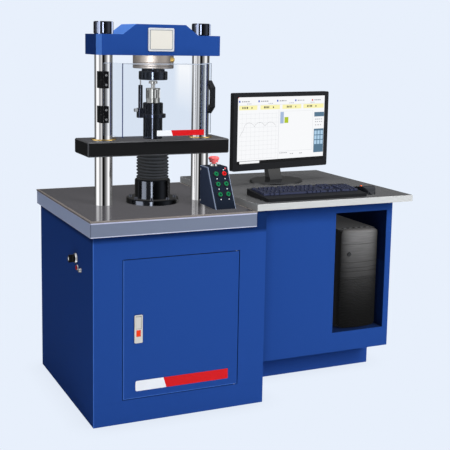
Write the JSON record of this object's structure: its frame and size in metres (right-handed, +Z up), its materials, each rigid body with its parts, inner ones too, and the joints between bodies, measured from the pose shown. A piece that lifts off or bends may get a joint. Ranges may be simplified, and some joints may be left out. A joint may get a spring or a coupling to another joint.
{
  "type": "powder compaction density tester",
  "caption": "Two-column powder compaction press with a moving crosshead, die, hinged clear guard and push-button box on a sheet cabinet, joined to a computer desk.",
  "frame": {"origin": "on the floor under the middle of the whole object's outline", "axes": "+X to the right along the front, +Y from the front to the back, +Z up"},
  "size_m": [1.304, 0.74, 1.388],
  "materials": {
    "cabinet_blue": "smooth semi-gloss paint",
    "crosshead_blue": "smooth semi-gloss paint",
    "bed_steel": "smooth grey paint under a dark polished cover sheet",
    "chrome": "hard chromed and ground",
    "dark_steel": "blackened steel, polished",
    "cell_steel": "turned stainless steel",
    "tool_steel": "ground tool steel",
    "black_paint": "smooth black paint",
    "brass": "turned",
    "black_rubber": "moulded, matte",
    "black_plastic": "fine grain",
    "gloss_black": "polished",
    "red_plastic": "polished",
    "green_plastic": "polished",
    "pink_plastic": "polished lens",
    "navy_paint": "smooth satin paint",
    "acrylic": "clear acrylic sheet",
    "zinc_steel": "zinc plated",
    "pump_grey": "satin machinery paint",
    "desk_sheet": "smooth dark grey top, light grey edges",
    "plinth_navy": "smooth satin paint",
    "screen_glass": "flat display panel",
    "key_black": "fine grain",
    "lock_grey": "satin light grey",
    "orange_plastic": "polished"
  },
  "bodies": {
    "press": {"cabinet_shell": "cabinet_blue", "door_pivot_pins": "zinc_steel", "side_bezels": "chrome", "bed_plate": "bed_steel", "guide_columns": "chrome", "column_nuts": "dark_steel", "upper_crosshead": "crosshead_blue", "load_cell": "cell_steel", "load_cell_socket": "brass", "upper_platen": "dark_steel", "cylinder_housing": "black_paint", "bellows": "black_rubber", "guard_hinge_saddles": "black_paint", "control_box": "navy_paint", "switch_bezels": "chrome", "indicator_lamp": "pink_plastic", "oil_tank": "pump_grey", "pump_motor": "pump_grey", "pump_manifold": "zinc_steel", "desk_top": "desk_sheet", "desk_pedestal": "cabinet_blue", "desk_plinth": "plinth_navy", "tower_case": "black_plastic", "tower_fascia": "gloss_black", "monitor_stand": "gloss_black", "keyboard_case": "black_plastic", "keyboard_keys": "key_black", "mouse_shell": "black_plastic"},
    "crosshead_carriage": {"moving_beam": "black_paint", "guide_bushes": "brass", "ram": "chrome", "die_post": "dark_steel", "clamp_ring": "dark_steel", "die_body": "tool_steel", "sensor_barrel": "dark_steel"},
    "punch": {"punch": "tool_steel"},
    "sensor_probe": {"sensor_probe": "chrome"},
    "clamp_screw": {"clamp_screw": "chrome"},
    "guard": {"guard_window": "acrylic", "guard_hinge_leaves": "black_paint", "guard_handle": "black_plastic"},
    "door": {"cabinet_door": "cabinet_blue", "lock_plate": "lock_grey"},
    "lock_paddle": {"lock_paddle": "lock_grey"},
    "lock_push": {"lock_push": "red_plastic"},
    "stop_button": {"stop_button": "red_plastic"},
    "push_button_1": {"push_button_1": "green_plastic"},
    "push_button_2": {"push_button_2": "red_plastic"},
    "push_button_3": {"push_button_3": "green_plastic"},
    "push_button_4": {"push_button_4": "green_plastic"},
    "push_button_5": {"push_button_5": "green_plastic"},
    "push_button_6": {"push_button_6": "green_plastic"},
    "side_knob": {"side_knob": "black_plastic"},
    "side_push": {"side_push": "red_plastic"},
    "monitor": {"monitor_housing": "black_plastic", "monitor_screen": "screen_glass"},
    "mouse_button_left": {"mouse_button_left": "gloss_black"},
    "mouse_button_right": {"mouse_button_right": "gloss_black"},
    "mouse_wheel": {"mouse_wheel": "orange_plastic"},
    "power_button": {"power_button": "chrome"}
  },
  "joints": [
    {"name": "beam_slide", "type": "slide", "parent": "press", "child": "crosshead_carriage", "axis": [0, 0, 1], "range_m": [-0.055, 0], "deforming": ["bellows"]},
    {"name": "punch_slide", "type": "slide", "parent": "crosshead_carriage", "child": "punch", "axis": [0, 0, 1], "range_m": [-0.01, 0]},
    {"name": "probe_slide", "type": "slide", "parent": "crosshead_carriage", "child": "sensor_probe", "axis": [0, 0, -1], "range_m": [0, 0.012], "stiffness_N_per_m": 300},
    {"name": "clamp_screw_turn", "type": "hinge", "parent": "crosshead_carriage", "child": "clamp_screw", "pos_m": [-0.351, -0.055, 1.069], "axis": [1, 0, 0], "range_deg": [0, 180]},
    {"name": "guard_hinge", "type": "hinge", "parent": "press", "child": "guard", "pos_m": [-0.5155, -0.113, 1.12], "axis": [0, 0, -1], "range_deg": [0, 110]},
    {"name": "door_hinge", "type": "hinge", "parent": "press", "child": "door", "pos_m": [-0.089, -0.35, 0.3345], "axis": [0, 0, 1], "range_deg": [0, 110]},
    {"name": "lock_paddle_turn", "type": "hinge", "parent": "door", "child": "lock_paddle", "pos_m": [-0.462, -0.353, 0.3787], "axis": [-1, 0, 0], "range_deg": [0, 50], "stiffness_Nm_per_rad": 0.05},
    {"name": "lock_push_slide", "type": "slide", "parent": "door", "child": "lock_push", "axis": [0, 1, 0], "range_m": [0, 0.003], "stiffness_N_per_m": 400},
    {"name": "stop_button_slide", "type": "slide", "parent": "press", "child": "stop_button", "axis": [0, 0, -1], "range_m": [0, 0.005]},
    {"name": "push_button_1_slide", "type": "slide", "parent": "press", "child": "push_button_1", "axis": [0, 0.8742, -0.4856], "range_m": [0, 0.003], "stiffness_N_per_m": 500},
    {"name": "push_button_2_slide", "type": "slide", "parent": "press", "child": "push_button_2", "axis": [0, 0.8742, -0.4856], "range_m": [0, 0.003], "stiffness_N_per_m": 500},
    {"name": "push_button_3_slide", "type": "slide", "parent": "press", "child": "push_button_3", "axis": [0, 0.8742, -0.4856], "range_m": [0, 0.003], "stiffness_N_per_m": 500},
    {"name": "push_button_4_slide", "type": "slide", "parent": "press", "child": "push_button_4", "axis": [0, 0.8742, -0.4856], "range_m": [0, 0.003], "stiffness_N_per_m": 500},
    {"name": "push_button_5_slide", "type": "slide", "parent": "press", "child": "push_button_5", "axis": [0, 0.8742, -0.4856], "range_m": [0, 0.003], "stiffness_N_per_m": 500},
    {"name": "push_button_6_slide", "type": "slide", "parent": "press", "child": "push_button_6", "axis": [0, 0.8742, -0.4856], "range_m": [0, 0.003], "stiffness_N_per_m": 500},
    {"name": "side_knob_turn", "type": "hinge", "parent": "press", "child": "side_knob", "pos_m": [-0.638, -0.15, 0.555], "axis": [-1, 0, 0], "range_deg": [0, 90]},
    {"name": "side_push_slide", "type": "slide", "parent": "press", "child": "side_push", "axis": [1, 0, 0], "range_m": [0, 0.002], "stiffness_N_per_m": 500},
    {"name": "monitor_tilt", "type": "hinge", "parent": "press", "child": "monitor", "pos_m": [0.30271, 0.14401, 0.919], "axis": [-0.9848, -0.1736, 0], "range_deg": [-5, 20]},
    {"name": "mouse_button_left_click", "type": "hinge", "parent": "press", "child": "mouse_button_left", "pos_m": [0.482, -0.262, 0.77], "axis": [-1, 0, 0], "range_deg": [0, 0.8], "stiffness_Nm_per_rad": 0.8},
    {"name": "mouse_button_right_click", "type": "hinge", "parent": "press", "child": "mouse_button_right", "pos_m": [0.518, -0.262, 0.77], "axis": [-1, 0, 0], "range_deg": [0, 0.8], "stiffness_Nm_per_rad": 0.8},
    {"name": "mouse_wheel_turn", "type": "hinge", "parent": "press", "child": "mouse_wheel", "pos_m": [0.5, -0.23704, 0.76689], "axis": [1, 0, 0], "continuous": true},
    {"name": "power_button_slide", "type": "slide", "parent": "press", "child": "power_button", "axis": [0, 1, 0], "range_m": [0, 0.0015], "stiffness_N_per_m": 500}
  ]
}
